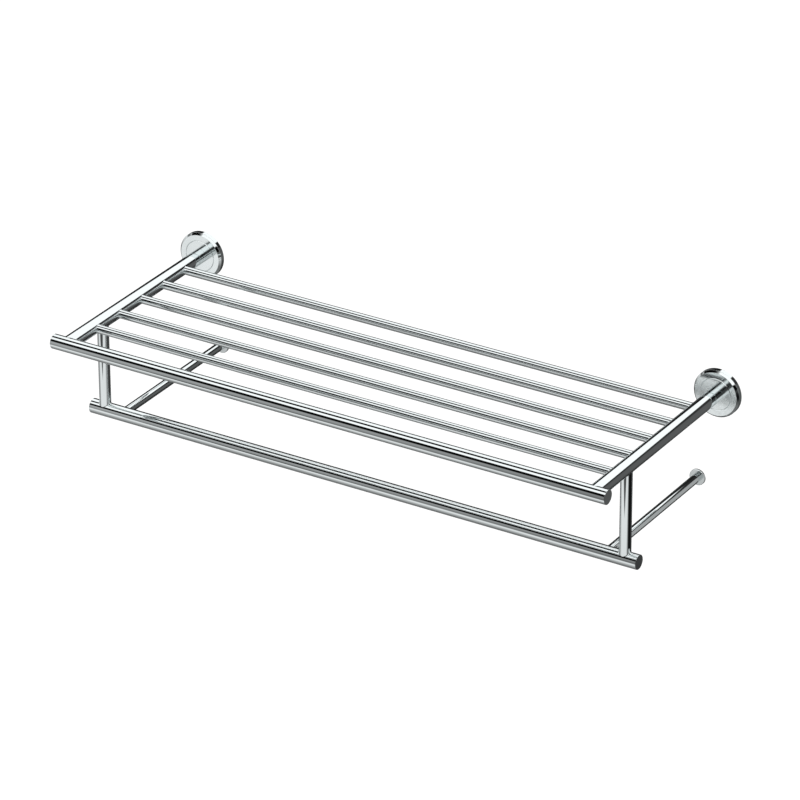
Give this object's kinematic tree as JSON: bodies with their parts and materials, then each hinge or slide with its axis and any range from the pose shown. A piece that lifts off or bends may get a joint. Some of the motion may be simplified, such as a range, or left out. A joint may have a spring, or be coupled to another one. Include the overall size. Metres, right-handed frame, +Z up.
{
  "type": "towel rack",
  "caption": "Wall-mounted chrome tube towel shelf: thin rods between side arms, a front rail, round wall flanges, and a towel rail hung below on posts with wall stays.",
  "frame": {"origin": "on the wall plane, midway between the centres of the wall flanges: the centre of the pattern of wall screw holes", "axes": "+X along the rails towards the right-hand flange seen from the room, +Y into the wall, +Z up"},
  "size_m": [0.6804, 0.264, 0.1387],
  "materials": {
    "chrome": "bright polished chrome plate",
    "zinc_steel": "zinc-plated steel, satin",
    "pad": "translucent grey-white soft pad, matt"
  },
  "bodies": {
    "root": {"front_rail": "chrome", "front_rail_cap_left": "chrome", "front_rail_cap_right": "chrome", "towel_rail": "chrome", "towel_rail_cap_left": "chrome", "towel_rail_cap_right": "chrome", "arm_left": "chrome", "arm_right": "chrome", "post_left": "chrome", "post_right": "chrome", "stay_left": "chrome", "stay_right": "chrome", "stay_foot_left": "chrome", "stay_foot_right": "chrome", "flange_left": "chrome", "flange_right": "chrome", "shelf_rod_1": "chrome", "shelf_rod_2": "chrome", "shelf_rod_3": "chrome", "shelf_rod_4": "chrome", "shelf_rod_5": "chrome", "arm_plug_left": "zinc_steel", "arm_plug_right": "zinc_steel", "flange_screws": "zinc_steel", "set_screws": "zinc_steel", "wall_plate_left": "zinc_steel", "wall_plate_right": "zinc_steel", "foot_pad_left": "pad", "foot_pad_right": "pad"}
  },
  "joints": []
}
